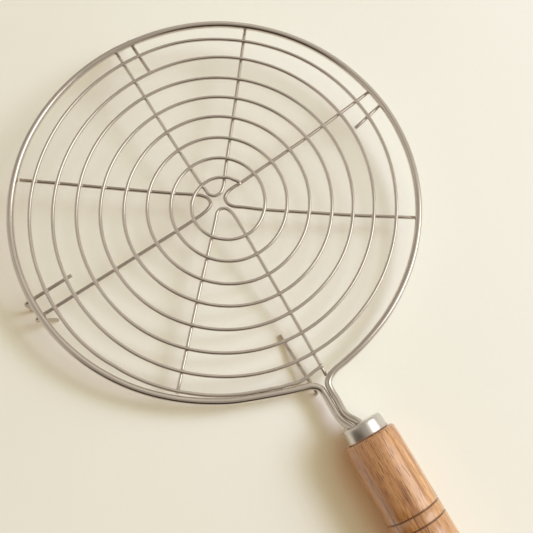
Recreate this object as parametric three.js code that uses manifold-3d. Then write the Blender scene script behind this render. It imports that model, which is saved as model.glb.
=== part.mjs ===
// Papad roaster: a round wire grille on short feet with a turned wooden handle.
// Millimetres, +Z up, z = 0 is the table. The handle runs along +X and lies on the table,
// so the grille leans a few degrees, its far side higher than its handle side.
// The wires are drawn in the grille's own frame: x and y measured from its centre, in the
// plane of the round frame. The group that holds them is then leaned and shifted so that
// z = 0 is the table and the origin is the middle of the bounding box's underside.
import * as THREE from "three";
import { mergeVertices } from "three/addons/utils/BufferGeometryUtils.js";
import Module from "manifold-3d";

const wasm = await Module();
wasm.setup();

// ---------------------------------------------------------------- driving dimensions
const RING_WIRE_D = 3.6; // thick frame wire
const THIN_WIRE_D = 1.9; // spiral, spokes and feet
const RING_Z = 15.0; // height of the round frame in the grille's own frame; the table below is TABLE
const WELD_GAP = 0.03; // clearance between wires that are welded where they cross
const SPOKE_Z = RING_Z - RING_WIRE_D / 2 - THIN_WIRE_D / 2 - WELD_GAP;
const SPIRAL_Z = SPOKE_Z + THIN_WIRE_D + WELD_GAP;
// the table as seen from the grille's frame: z = TABLE[0] + TABLE[1] x + TABLE[2] y
const TABLE = [-2.1, 0.0745, -0.007];
const tableZ = (x, y) => TABLE[0] + TABLE[1] * x + TABLE[2] * y;

const HANDLE_D = 26.6;
const HANDLE_SKEW = (-2.565 * Math.PI) / 180; // the handle points a little aside of the notch
const HANDLE_REF = [139.5, 0.435]; // plan point on the handle axis
const HANDLE_RISE = Math.atan(TABLE[1] * Math.cos(HANDLE_SKEW) + TABLE[2] * Math.sin(HANDLE_SKEW));
const HANDLE_CLEAR = 0.05; // air under the wood
const HANDLE_Z =
  tableZ(...HANDLE_REF) + (HANDLE_D / 2 + HANDLE_CLEAR) * Math.hypot(1, TABLE[1], TABLE[2]);
const HANDLE_START = 136.8; // shoulder of the wood
const HANDLE_END = 248.5; // butt
const GROOVE_X = [174.57, 180.16];
const GROOVE_W = 0.9;
const GROOVE_DEEP = 0.5;
const FERRULE_X = [129.55, 136.5];
const FERRULE_D = [20.3, 21.1];
const FERRULE_WALL = 0.8;
const TENON_D = 18.6;
const TENON_X = 133.2;
const TANG_END = 165.0; // depth the frame wires reach inside the wood

const SPIRAL_START = 102.2; // degrees, plan direction of the inner end
const SPIRAL_PITCH = 11.621;
const SPIRAL_R0 = 11.31;

// plan and height shift that brings the origin under the middle of the bounding box
const SHIFT_X = -66.0765;
const SHIFT_Y = 0.9174;

// ---------------------------------------------------------------- helpers
const DEG = Math.PI / 180;

// A path given by its own list of stations, so bends get many and straights few.
class StationCurve extends THREE.Curve {
  constructor(points) {
    super();
    this.points = points;
  }
  index(u) {
    return Math.round(u * (this.points.length - 1));
  }
  getPointAt(u, target = new THREE.Vector3()) {
    return target.copy(this.points[this.index(u)]);
  }
  getPoint(u, target) {
    return this.getPointAt(u, target);
  }
  getTangentAt(u, target = new THREE.Vector3()) {
    const p = this.points;
    const i = this.index(u);
    const d = new THREE.Vector3();
    if (i > 0) d.add(p[i].clone().sub(p[i - 1]).normalize());
    if (i < p.length - 1) d.add(p[i + 1].clone().sub(p[i]).normalize());
    return target.copy(d.normalize());
  }
  getTangent(u, target) {
    return this.getTangentAt(u, target);
  }
}

// Thins a dense polyline: a station is kept after a turn of `turn` degrees or `reach` mm.
function thin(dense, turn, reach) {
  const out = [dense[0]];
  let from = 0;
  let heading = dense[1].clone().sub(dense[0]).normalize();
  let turned = 0;
  for (let i = 1; i < dense.length - 1; i++) {
    const next = dense[i + 1].clone().sub(dense[i]).normalize();
    turned += heading.angleTo(next) / DEG;
    heading = next;
    if (turned >= turn || dense[i].distanceTo(dense[from]) >= reach) {
      out.push(dense[i]);
      from = i;
      turned = 0;
    }
  }
  if (out.length > 1 && dense.at(-1).distanceTo(out.at(-1)) < 0.35) out.pop();
  out.push(dense.at(-1));
  return out;
}

function smooth(points, step = 0.25) {
  const v = points.map((p) => new THREE.Vector3(...p));
  const c = new THREE.CatmullRomCurve3(v, false, "centripetal");
  c.arcLengthDivisions = 1200;
  return c.getSpacedPoints(Math.ceil(c.getLength() / step));
}

// Polyline whose corners are replaced by arcs of the bend radius given with each point.
function bent(points) {
  const v = points.map((p) => new THREE.Vector3(p[0], p[1], p[2]));
  const out = [v[0].clone()];
  for (let i = 1; i < v.length - 1; i++) {
    const a = v[i - 1].clone().sub(v[i]).normalize();
    const b = v[i + 1].clone().sub(v[i]).normalize();
    const half = a.angleTo(b) / 2;
    const r = points[i][3] ?? 2.2;
    const cut = r / Math.tan(half);
    const centre = v[i].clone().addScaledVector(a.clone().add(b).normalize(), r / Math.sin(half));
    const s = v[i].clone().addScaledVector(a, cut).sub(centre);
    const e = v[i].clone().addScaledVector(b, cut).sub(centre);
    const sweep = s.angleTo(e);
    const axis = s.clone().cross(e).normalize();
    const n = Math.max(2, Math.ceil(sweep / DEG / 15));
    for (let k = 0; k <= n; k++)
      out.push(centre.clone().add(s.clone().applyAxisAngle(axis, (sweep * k) / n)));
  }
  out.push(v.at(-1).clone());
  return out;
}

function section(d, sides) {
  const s = new THREE.Shape();
  for (let i = 0; i < sides; i++) {
    const a = (2 * Math.PI * (i + 0.5)) / sides;
    const x = (d / 2) * Math.cos(a);
    const y = (d / 2) * Math.sin(a);
    if (i) s.lineTo(x, y);
    else s.moveTo(x, y);
  }
  s.closePath();
  return s;
}

function wire(stations, d, sides) {
  return new THREE.ExtrudeGeometry(section(d, sides), {
    steps: stations.length - 1,
    bevelEnabled: false,
    extrudePath: new StationCurve(stations),
  });
}

function solid(geometry) {
  const g = geometry.clone();
  g.deleteAttribute("normal");
  g.deleteAttribute("uv");
  const m = mergeVertices(g, 1e-4);
  return new wasm.Manifold(
    new wasm.Mesh({
      numProp: 3,
      vertProperties: new Float32Array(m.attributes.position.array),
      triVerts: new Uint32Array(m.index.array),
    }),
  );
}

function geometryOf(manifold) {
  const m = manifold.getMesh();
  const g = new THREE.BufferGeometry();
  g.setAttribute("position", new THREE.BufferAttribute(new Float32Array(m.vertProperties), 3));
  g.setIndex(new THREE.BufferAttribute(new Uint32Array(m.triVerts), 1));
  g.computeVertexNormals();
  return g;
}

const group = new THREE.Group();
group.name = "papad_roaster";
const leaning = new THREE.Group();
const upright = new THREE.Vector3(-TABLE[1], -TABLE[2], 1).normalize(); // the table's normal
leaning.quaternion.setFromUnitVectors(upright, new THREE.Vector3(0, 0, 1));
leaning.position.set(SHIFT_X, SHIFT_Y, -TABLE[0] * upright.z);
group.add(leaning);

function add(name, geometry, colour, roughness, metalness) {
  const mesh = new THREE.Mesh(
    geometry,
    new THREE.MeshStandardMaterial({ color: colour, roughness, metalness }),
  );
  mesh.name = name;
  leaning.add(mesh);
  return mesh;
}

const WIRE = [0xb9b4ab, 0.3, 1.0];
const CAP = [0xc6c2bb, 0.34, 1.0];
const WOOD = [0xb97a45, 0.42, 0.0];

// ---------------------------------------------------------------- frame wire
// One wire: tang in the handle, stem, the round frame, second stem, second tang.
// distance of the frame wire from the grille's centre, every 6 degrees from RIM_FROM
const RIM_FROM = 22;
const RIM_RADII = [
  102.91, 103.12, 103.39, 103.71, 104.06, 104.38, 104.69, 104.93, 105.08, 105.09, 105.04, 104.97,
  104.75, 104.42, 104.17, 103.96, 103.72, 103.44, 103.17, 102.92, 102.71, 102.54, 102.22, 101.91,
  101.61, 101.39, 101.39, 101.58, 101.71, 101.92, 102.14, 102.46, 102.79, 103.15, 103.4, 103.55,
  103.72, 103.84, 103.91, 103.86, 103.74, 103.53, 103.29, 103.12, 102.72, 102.35, 101.93, 101.52,
  101.09, 100.71, 100.42, 100.3, 100.33,
];
function axisPoint(x, side, dz = 0) {
  // a point beside the handle axis: x along it, side square to it and level, dz square to both
  const l = x - HANDLE_REF[0];
  const [cs, ss] = [Math.cos(HANDLE_SKEW), Math.sin(HANDLE_SKEW)];
  const [cr, sr] = [Math.cos(HANDLE_RISE), Math.sin(HANDLE_RISE)];
  return [
    HANDLE_REF[0] + l * cr * cs - side * ss - dz * sr * cs,
    HANDLE_REF[1] + l * cr * ss + side * cs - dz * sr * ss,
    HANDLE_Z + l * sr + dz * cr,
  ];
}
const TANG = 1.86; // half the spacing of the two tangs
const stemPlus = [
  axisPoint(TANG_END, TANG),
  axisPoint(152, TANG),
  axisPoint(140, TANG),
  [134.16, 2.18, 21.26],
  [130.83, 1.11, 20.93],
  [127.97, -0.18, 19.85],
  [124.84, -1.84, 17.9],
  [122.05, -2.42, RING_Z + 1.55],
  [118.42, -2.16, RING_Z + 0.65],
  [114.72, -1.87, RING_Z + 0.2],
  [110.6, -1.86, RING_Z],
  [106.35, -1.05, RING_Z],
  [103.6, 3.3, RING_Z],
  [102, 13.2, RING_Z],
  [100.08, 23.24, RING_Z],
];
const stemMinus = [
  [99.1, -22, RING_Z],
  [101.9, -14.05, RING_Z],
  [103.9, -8.6, RING_Z],
  [106.85, -5.9, RING_Z],
  [110.2, -5.6, RING_Z],
  [114.4, -5.7, RING_Z + 0.25],
  [118.2, -5.86, RING_Z + 0.75],
  [121.67, -6.06, RING_Z + 1.5],
  [125.54, -5.5, 18.15],
  [129.63, -3.75, 20.4],
  [132.59, -2.06, 21.1],
  [135.34, -1.4, 21.36],
  axisPoint(140, -TANG),
  axisPoint(152, -TANG),
  axisPoint(TANG_END, -TANG),
];
const rim = [];
RIM_RADII.forEach((r, i) => {
  const a = (RIM_FROM + 6 * i) * DEG;
  rim.push([r * Math.cos(a), r * Math.sin(a), RING_Z]);
});
const frameDense = smooth([...stemPlus, ...rim, ...stemMinus]);
add("ring_frame", wire(thin(frameDense, 4, 12), RING_WIRE_D, 12), ...WIRE);

// ---------------------------------------------------------------- spiral grille
// Eight turns wound counter-clockwise from the middle; slightly out of round.
const startLift = [
  [0, 2.9], [20, 1.7], [40, 0.7], [60, 0.25], [80, 0.05], [100, 0.1], [120, 0.6], [145, 1.2],
  [160, 1.2], [185, 0.9], [217, 0.55], [240, 0.1], [270, 0.1], [300, -0.4], [325, -0.4], [350, 0],
];
const outerTurn = [
  [2715.7, 96.76], [2720, 96.87], [2728, 97.02], [2737, 97.24], [2745, 97.5], [2749, 97.63],
  [2753.5, 97.65], [2758, 97.71], [2762, 98.03], [2766, 98.75], [2770.4, 99.62], [2772.8, 99.3],
  [2775.9, 98.4], [2778.6, 97.8],
];
function table(rows, x) {
  if (x <= rows[0][0]) return rows[0][1];
  for (let i = 1; i < rows.length; i++)
    if (x <= rows[i][0]) {
      const [x0, y0] = rows[i - 1];
      const [x1, y1] = rows[i];
      const f = (x - x0) / (x1 - x0);
      return y0 + (y1 - y0) * f * f * (3 - 2 * f);
    }
  return rows.at(-1)[1];
}
// hand-bent waviness: change of radius every 15 degrees along the wire
const WAVE = [
  0.07, 0.08, 0.11, -0.01, -0.22, -0.44, -0.46, -0.47, -0.51, -0.53, -0.5, -0.18, -0.03, -0.11,
  -0.18, -0.17, -0.04, 0.15, 0.4, 0.67, 0.86, 0.81, 0.73, 0.51, 0.3, 0.19, 0, -0.17,
  -0.41, -0.62, -0.68, -0.72, -0.63, -0.54, -0.38, -0.31, -0.32, -0.43, -0.32, -0.08, 0.18, 0.34,
  0.44, 0.45, 0.42, 0.33, 0.28, 0.14, -0.08, -0.14, -0.21, -0.28, -0.44, -0.74, -0.87, -0.82,
  -0.59, -0.38, -0.23, -0.24, -0.41, -0.49, -0.34, 0.07, 0.54, 0.9, 1, 0.93, 0.79, 0.6,
  0.48, 0.24, 0.12, 0.11, 0.08, 0.12, -0.12, -0.55, -0.81, -0.96, -0.82, -0.56, -0.08, 0.02,
  -0.18, -0.43, -0.52, -0.19, 0.4, 0.87, 1.11, 1.17, 1.02, 0.79, 0.54, 0.27, -0.07, -0.14,
  -0.14, -0.13, -0.39, -0.82, -1.06, -1.06, -0.88, -0.55, -0.1, 0.04, 0.06, 0.05, -0.06, 0.12,
  0.42, 0.47, 0.43, 0.55, 0.55, 0.39, 0.24, 0.06, -0.11, -0.31, -0.41, -0.4, -0.44, -0.52,
  -0.42, -0.22, -0.33, -0.28, -0.09, -0.21, -0.2, -0.02, -0.06, 0.06, 0.35, 0.52, 0.5, 0.35,
  0.02, -0.12, -0.04, 0.04, 0.1, 0.24, 0.39, 0.36, -0.27, -1.16, -1.4, -1.22, -0.89, -0.46,
  -0.19, -0.23, -0.36, -0.41, -0.49, -0.25, 0.23, 0.39, 0.47, 0.48, 0.3, 0.15, 0.34, 0.39,
  0.28, 0.1, -0.34, -0.47, -0.26, -0.78, -0.83, -0.84, -0.84, -0.57, -0.66, -0.98, -1.13, -0.47,
  -0.3, -0.27, 0, 0, 0,
];
function wave(phi) {
  const x = phi / 15;
  const i = Math.min(WAVE.length - 2, Math.floor(x));
  const f = x - i;
  const [a, b, c, d] = [WAVE[Math.max(0, i - 1)], WAVE[i], WAVE[i + 1], WAVE[Math.min(WAVE.length - 1, i + 2)]];
  return b + 0.5 * f * (c - a + f * (2 * a - 5 * b + 4 * c - d + f * (3 * (b - c) + d - a)));
}
function spiralRadius(phi) {
  const t = phi * DEG;
  const u = phi / 2880;
  let r =
    SPIRAL_R0 +
    (SPIRAL_PITCH * t) / (2 * Math.PI) +
    (2.043 - 0.686 * u) * Math.cos(t) +
    (-2.0 + 0.782 * u) * Math.sin(t) +
    (-0.567 + 1.168 * u) * Math.cos(2 * t) +
    (0.291 - 0.12 * u) * Math.sin(2 * t);
  if (phi < 350) r += table(startLift, phi);
  if (phi > 2700) {
    const f = Math.min(1, (phi - 2700) / 15.7);
    r = r * (1 - f) + table(outerTurn, phi) * f;
  }
  r += wave(phi);
  return r;
}
const SPIRAL_END = 2778.6;
const spiralStations = [];
for (let phi = 0; ; ) {
  const a = (SPIRAL_START + phi) * DEG;
  const r = spiralRadius(phi);
  spiralStations.push(new THREE.Vector3(r * Math.cos(a), r * Math.sin(a), SPIRAL_Z));
  if (phi >= SPIRAL_END) break;
  const chord = (2 * Math.acos(1 - 0.2 / r)) / DEG;
  const step = phi > 2740 || phi < 30 ? 4 : Math.min(15, chord);
  phi = SPIRAL_END - phi < 1.5 * step ? SPIRAL_END : phi + step;
}
add("spiral_grid", wire(spiralStations, THIN_WIRE_D, 8), ...WIRE);

// ---------------------------------------------------------------- spokes
// Four hairpins, each a wire folded in the middle so that it makes two spokes.
function hairpin(outA, legA, inner, outB, legB) {
  // legA and legB list the points past the rim, outermost last; inner is the folded part
  const curve = smooth([...inner.map(([x, y]) => [x, y, SPOKE_Z])], 0.2);
  const stationsIn = thin(curve, 11, 14);
  const head = legA ? bent([...legA.slice().reverse(), [...outA, SPOKE_Z, 3], [stationsIn[0].x, stationsIn[0].y, SPOKE_Z]]).slice(0, -1) : [new THREE.Vector3(...outA, SPOKE_Z)];
  const tail = legB ? bent([[stationsIn.at(-1).x, stationsIn.at(-1).y, SPOKE_Z], [outB[0], outB[1], SPOKE_Z, 1.8], ...legB]).slice(1) : [new THREE.Vector3(...outB, SPOKE_Z)];
  return [...head, ...stationsIn, ...tail];
}
// A leg ends in a short bit square to the table, so that its cut end stands flat on it.
function footing(x, y, length = 1.6, r = 2.2) {
  const end = new THREE.Vector3(x, y, tableZ(x, y));
  const above = end.clone().addScaledVector(upright, length);
  return [[above.x, above.y, above.z, r], [end.x, end.y, end.z]];
}
const hairpinNW = hairpin(
  [-104.5, -3.3],
  footing(-116.4, -3.5),
  [
    [-78, -2.88], [-50, -2.77], [-23.2, -2.31], [-14, -2.07], [-9.66, -1.68], [-6.75, -1.25], [-4.6, 0.74],
    [-4.35, 4.1], [-6.55, 7.25], [-10.15, 10.04], [-16.17, 14.63], [-25.62, 22.32], [-49.66, 41.57], [-65.83, 54.21],
  ],
  [-79.85, 65.27],
  null,
);
const hairpinSW = hairpin(
  [-62.32, -80.36],
  null,
  [
    [-51.27, -64.96], [-37.87, -46.69], [-24, -27.4], [-15.25, -15.03], [-10.73, -8.45], [-7.75, -4.75], [-4.8, -2.85],
    [-1.7, -3.2], [0, -6.2], [0.85, -9.84], [1.17, -13.58], [1.72, -20.39], [2.98, -44.98], [4.36, -74.96],
  ],
  [5.92, -107.9],
  footing(8.3, -99.6),
);
const hairpinNE = hairpin(
  [-13.35, 104.9],
  null,
  [
    [-10.87, 86.05], [-7.97, 62.05], [-5.57, 36], [-4.49, 24.11], [-3.67, 16.03], [-3.45, 10.82], [-2.75, 7.5],
    [-0.95, 4.95], [2.1, 4.4], [5, 5.95], [8.6, 10.6], [14.88, 18.73], [26.6, 35.8], [42.8, 59.45],
    [50.5, 71.5],
  ],
  [59.2, 84.9],
  null,
);
const hairpinSE = hairpin(
  [72.66, -66.04],
  null,
  [
    [58, -52.6], [37.99, -34.31], [17, -14.7], [11.8, -9.9], [6.85, -5.35], [4.1, -2.84], [3.2, -0.56],
    [4.2, 2], [7.1, 3.55], [11.35, 4.05], [17.01, 3.95], [27.71, 3.55], [50.01, 2.7], [80.01, 1.45],
  ],
  [103.3, 0.39],
  null,
);
const spokeWire = (stations) => wire(stations, THIN_WIRE_D, 8);
add("spoke_pair_nw", spokeWire(hairpinNW), ...WIRE);
add("spoke_pair_sw", spokeWire(hairpinSW), ...WIRE);
add("spoke_pair_ne", spokeWire(hairpinNE), ...WIRE);
add("spoke_pair_se", spokeWire(hairpinSE), ...WIRE);

// ---------------------------------------------------------------- short foot wires
// Each lies beside a spoke and runs out under the frame wire; all but one turn down as a leg.
const foot = (points) => wire(bent(points), THIN_WIRE_D, 8);
add(
  "foot_nw",
  foot([[-83.1, 6.7, SPOKE_Z], [-104.5, 6.15, SPOKE_Z, 2.2], ...footing(-116.4, 5.85)]),
  ...WIRE,
);
add(
  "foot_ne",
  foot([[0.95, 85.6, SPOKE_Z], [-3.55, 105.3, SPOKE_Z]]),
  ...WIRE,
);
add(
  "foot_sw",
  foot([[-4.8, -81.4, SPOKE_Z], [-3.5, -107.4, SPOKE_Z, 2.2], ...footing(-2.482, -107.496).slice(1)]),
  ...WIRE,
);
// this one dips until its inner end rests on the table
add(
  "foot_se",
  foot([[74.0, -7.6, 4.47], [92.0, -8.0, 9.0, 30], [107.9, -7.9, SPOKE_Z - 0.85, 2.2], ...footing(108.3, -7.94).slice(1)]),
  ...WIRE,
);

// ---------------------------------------------------------------- ferrule
// Thin pressed cap over the tenon, with a slot in its face for the two stems.
// Profiles are radius, distance from HANDLE_REF along the handle axis.
function onAxis(geometry) {
  // from the handle's own frame, +X along it, into the grille's
  geometry.rotateY(-HANDLE_RISE);
  geometry.rotateZ(HANDLE_SKEW);
  geometry.translate(HANDLE_REF[0], HANDLE_REF[1], HANDLE_Z);
  return geometry;
}
function alongAxis(geometry) {
  // lathe axis is +Y: lay it along the handle axis
  geometry.rotateZ(-Math.PI / 2);
  return onAxis(geometry);
}
function lathe(profile, segments) {
  const points = profile.map(([r, x]) => new THREE.Vector2(r, x - HANDLE_REF[0]));
  return alongAxis(new THREE.LatheGeometry(points, segments));
}
function stadium(width, height, length) {
  // stadium prism along +X, width along Y, height along Z, from x = 0
  const r = height / 2;
  const c = (width - height) / 2;
  const s = new THREE.Shape();
  const n = 8;
  for (let i = 0; i <= n; i++) {
    const a = -Math.PI / 2 + (Math.PI * i) / n;
    const x = c + r * Math.cos(a);
    const y = r * Math.sin(a);
    if (i) s.lineTo(x, y);
    else s.moveTo(x, y);
  }
  for (let i = 0; i <= n; i++) {
    const a = Math.PI / 2 + (Math.PI * i) / n;
    s.lineTo(-c + r * Math.cos(a), r * Math.sin(a));
  }
  s.closePath();
  const g = new THREE.ExtrudeGeometry(s, { depth: length, bevelEnabled: false, steps: 1 });
  g.rotateX(Math.PI / 2); // extrusion along -Y, width stays on X
  g.rotateZ(Math.PI / 2); // extrusion along +X, width on Y
  return g;
}
const [FX0, FX1] = FERRULE_X;
const FR0 = FERRULE_D[0] / 2;
const FR1 = FERRULE_D[1] / 2;
const cap = lathe(
  [
    [0, FX0],
    [FR0 - 1.3, FX0],
    [FR0 - 0.65, FX0 + 0.16],
    [FR0 - 0.2, FX0 + 0.55],
    [FR0, FX0 + 1.15],
    [FR1, FX1],
    [FR1 - FERRULE_WALL, FX1],
    [FR0 - FERRULE_WALL + 0.02, FX0 + 1.5],
    [FR0 - FERRULE_WALL - 0.5, FX0 + FERRULE_WALL],
    [0, FX0 + FERRULE_WALL],
  ],
  40,
);
const capSlot = stadium(9.6, 5.6, 6.5);
capSlot.rotateZ(28 * DEG);
capSlot.rotateY(-16 * DEG);
capSlot.translate(FX0 - HANDLE_REF[0] - 2.7, -3.75, -1.15);
onAxis(capSlot);
add("ferrule", geometryOf(solid(cap).subtract(solid(capSlot))), ...CAP);

// ---------------------------------------------------------------- handle
const R = HANDLE_D / 2;
const grip = [
  [0, TENON_X],
  [TENON_D / 2 - 0.4, TENON_X],
  [TENON_D / 2, TENON_X + 0.4],
  [TENON_D / 2, HANDLE_START],
  [FR1 + 0.15, HANDLE_START],
  [R - 1.9, HANDLE_START + 0.25],
  [R - 1.1, HANDLE_START + 0.8],
  [R - 0.55, HANDLE_START + 1.8],
  [R - 0.2, HANDLE_START + 3.8],
  [R, HANDLE_START + 8.0],
];
for (const x of GROOVE_X) {
  grip.push([R, x - GROOVE_W / 2], [R - GROOVE_DEEP, x - GROOVE_W / 6]);
  grip.push([R - GROOVE_DEEP, x + GROOVE_W / 6], [R, x + GROOVE_W / 2]);
}
grip.push([R, HANDLE_END - 7]);
for (let i = 1; i <= 6; i++) {
  const a = (i / 6) * 90 * DEG;
  grip.push([R - 6.5 + 6.5 * Math.cos(a), HANDLE_END - 6.5 + 6.5 * Math.sin(a)]);
}
grip.push([0, HANDLE_END]);
const tangSlot = stadium(4 * TANG + 0.9, RING_WIRE_D + 0.6, TANG_END + 1.0 - TENON_X + 1.0);
tangSlot.translate(TENON_X - 1.0 - HANDLE_REF[0], 0, 0);
onAxis(tangSlot);
const mouth = stadium(9.4, RING_WIRE_D + 1.0, 4.4);
mouth.rotateZ(17 * DEG);
mouth.rotateY(-5 * DEG);
mouth.translate(TENON_X - 1.4 - HANDLE_REF[0], -1.15, -0.25);
onAxis(mouth);
add(
  "handle_grip",
  geometryOf(solid(lathe(grip, 40)).subtract(solid(tangSlot)).subtract(solid(mouth))),
  ...WOOD,
);

export default group;
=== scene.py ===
import math

import bpy
import numpy as np
from mathutils import Matrix, Vector


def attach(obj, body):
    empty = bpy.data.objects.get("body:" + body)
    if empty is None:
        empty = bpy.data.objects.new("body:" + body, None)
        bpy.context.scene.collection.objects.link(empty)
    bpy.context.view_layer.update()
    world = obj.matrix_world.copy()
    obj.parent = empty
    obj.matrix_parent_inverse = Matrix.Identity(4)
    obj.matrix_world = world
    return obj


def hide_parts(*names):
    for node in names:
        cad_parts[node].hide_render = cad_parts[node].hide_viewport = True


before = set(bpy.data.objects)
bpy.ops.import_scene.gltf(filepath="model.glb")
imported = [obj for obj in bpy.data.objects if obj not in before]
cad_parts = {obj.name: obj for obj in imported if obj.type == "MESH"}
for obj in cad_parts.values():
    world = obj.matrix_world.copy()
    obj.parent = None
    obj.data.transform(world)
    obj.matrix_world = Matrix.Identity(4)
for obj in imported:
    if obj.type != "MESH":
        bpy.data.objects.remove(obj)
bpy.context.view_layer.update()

# ------------------------------------------------------------------ shared sizes (mm, in the grille's own frame)
MM = 0.001
RING_WIRE_D = 3.6
THIN_WIRE_D = 1.9
RING_Z = 15.0
WELD_GAP = 0.03
SPOKE_Z = RING_Z - RING_WIRE_D / 2 - THIN_WIRE_D / 2 - WELD_GAP
SPIRAL_Z = SPOKE_Z + THIN_WIRE_D + WELD_GAP
# the table as seen from the grille's frame: z = TABLE[0] + TABLE[1] x + TABLE[2] y
TABLE = (-2.1, 0.0745, -0.007)
HANDLE_D = 26.6
HANDLE_SKEW = math.radians(-2.565)
HANDLE_REF = (139.5, 0.435)
HANDLE_RISE = math.atan(TABLE[1] * math.cos(HANDLE_SKEW) + TABLE[2] * math.sin(HANDLE_SKEW))
HANDLE_CLEAR = 0.05
HANDLE_Z = (
    TABLE[0] + TABLE[1] * HANDLE_REF[0] + TABLE[2] * HANDLE_REF[1]
    + (HANDLE_D / 2 + HANDLE_CLEAR) * math.sqrt(1 + TABLE[1] ** 2 + TABLE[2] ** 2)
)
HANDLE_START = 136.8
HANDLE_END = 248.5
GROOVE_X = (174.57, 180.16)
GROOVE_W = 0.9
GROOVE_DEEP = 0.5
FERRULE_X = (129.55, 136.5)
FERRULE_D = (20.3, 21.1)
FERRULE_WALL = 0.8
TENON_D = 18.6
TENON_X = 133.2
TANG_END = 165.0
TANG = 1.86
SPIRAL_START = 102.2
SPIRAL_PITCH = 11.621
SPIRAL_R0 = 11.31
SPIRAL_END = 2778.6

# the grille leans: its frame is turned so that the table's normal points up, then shifted
UPRIGHT = np.array([-TABLE[1], -TABLE[2], 1.0])
UPRIGHT /= np.linalg.norm(UPRIGHT)
_K = np.array([[0, 0, -UPRIGHT[0]], [0, 0, -UPRIGHT[1]], [UPRIGHT[0], UPRIGHT[1], 0]])
LEAN = np.eye(3) + _K + _K @ _K / (1 + UPRIGHT[2])
SHIFT = np.array([-66.0765, 0.9174, -TABLE[0] * UPRIGHT[2]])


def table_z(x, y):
    return TABLE[0] + TABLE[1] * x + TABLE[2] * y


# ------------------------------------------------------------------ paths
def resample(p, step):
    d = np.r_[0, np.cumsum(np.linalg.norm(np.diff(p, axis=0), axis=1))]
    n = max(2, int(math.ceil(d[-1] / step)) + 1)
    s = np.linspace(0, d[-1], n)
    return np.stack([np.interp(s, d, p[:, k]) for k in range(3)], -1)


def catmull(points, step):
    p = np.array(points, float)
    p = np.vstack([2 * p[0] - p[1], p, 2 * p[-1] - p[-2]])
    out = []
    for i in range(1, len(p) - 2):
        a, b, c, d = p[i - 1], p[i], p[i + 1], p[i + 2]
        t0, t1, t2 = (max(np.dot(v, v), 1e-9) ** 0.25 for v in (b - a, c - b, d - c))
        m1 = ((b - a) / t0 - (c - a) / (t0 + t1) + (c - b) / t1) * t1
        m2 = ((c - b) / t1 - (d - b) / (t1 + t2) + (d - c) / t2) * t1
        n = max(2, int(np.linalg.norm(c - b) / 0.1))
        w = (np.arange(n) / n)[:, None]
        out.append(b + m1 * w + (-3 * b + 3 * c - 2 * m1 - m2) * w**2 + (2 * b - 2 * c + m1 + m2) * w**3)
    out.append(p[-2][None])
    return resample(np.vstack(out), step)


def bent(points, step=1.5):
    """A polyline whose corners are arcs; each corner point is (x, y, z, bend radius)."""
    v = [np.array(q[:3], float) for q in points]
    out = [v[0]]
    for i in range(1, len(v) - 1):
        a = (v[i - 1] - v[i]) / np.linalg.norm(v[i - 1] - v[i])
        b = (v[i + 1] - v[i]) / np.linalg.norm(v[i + 1] - v[i])
        half = math.acos(max(-1, min(1, float(a @ b)))) / 2
        r = points[i][3]
        cut = r / math.tan(half)
        centre = v[i] + (a + b) / np.linalg.norm(a + b) * (r / math.sin(half))
        s, e = v[i] + a * cut - centre, v[i] + b * cut - centre
        sweep = math.acos(max(-1, min(1, float(s @ e) / (r * r))))
        axis = np.cross(s, e)
        axis /= np.linalg.norm(axis)
        n = max(4, int(math.degrees(sweep) / 5))
        for k in range(n + 1):
            t = sweep * k / n
            out.append(centre + s * math.cos(t) + np.cross(axis, s) * math.sin(t))
    out.append(v[-1])
    # split the long straights so that shading stays even
    res = [out[0]]
    for q in out[1:]:
        d = np.linalg.norm(q - res[-1])
        n = max(1, int(d / 6))
        base = res[-1]
        for k in range(1, n + 1):
            res.append(base + (q - base) * k / n)
    return np.array(res)


RIM_FROM = 22
RIM_RADII = [
    102.91, 103.12, 103.39, 103.71, 104.06, 104.38, 104.69, 104.93, 105.08, 105.09, 105.04, 104.97,
    104.75, 104.42, 104.17, 103.96, 103.72, 103.44, 103.17, 102.92, 102.71, 102.54, 102.22, 101.91,
    101.61, 101.39, 101.39, 101.58, 101.71, 101.92, 102.14, 102.46, 102.79, 103.15, 103.4, 103.55,
    103.72, 103.84, 103.91, 103.86, 103.74, 103.53, 103.29, 103.12, 102.72, 102.35, 101.93, 101.52,
    101.09, 100.71, 100.42, 100.3, 100.33,
]


def axis_point(x, side, dz=0.0):
    """A point beside the handle axis: x along it, side square to it and level, dz square to both."""
    l = x - HANDLE_REF[0]
    cs, ss = math.cos(HANDLE_SKEW), math.sin(HANDLE_SKEW)
    cr, sr = math.cos(HANDLE_RISE), math.sin(HANDLE_RISE)
    return (
        HANDLE_REF[0] + l * cr * cs - side * ss - dz * sr * cs,
        HANDLE_REF[1] + l * cr * ss + side * cs - dz * sr * ss,
        HANDLE_Z + l * sr + dz * cr,
    )


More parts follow.
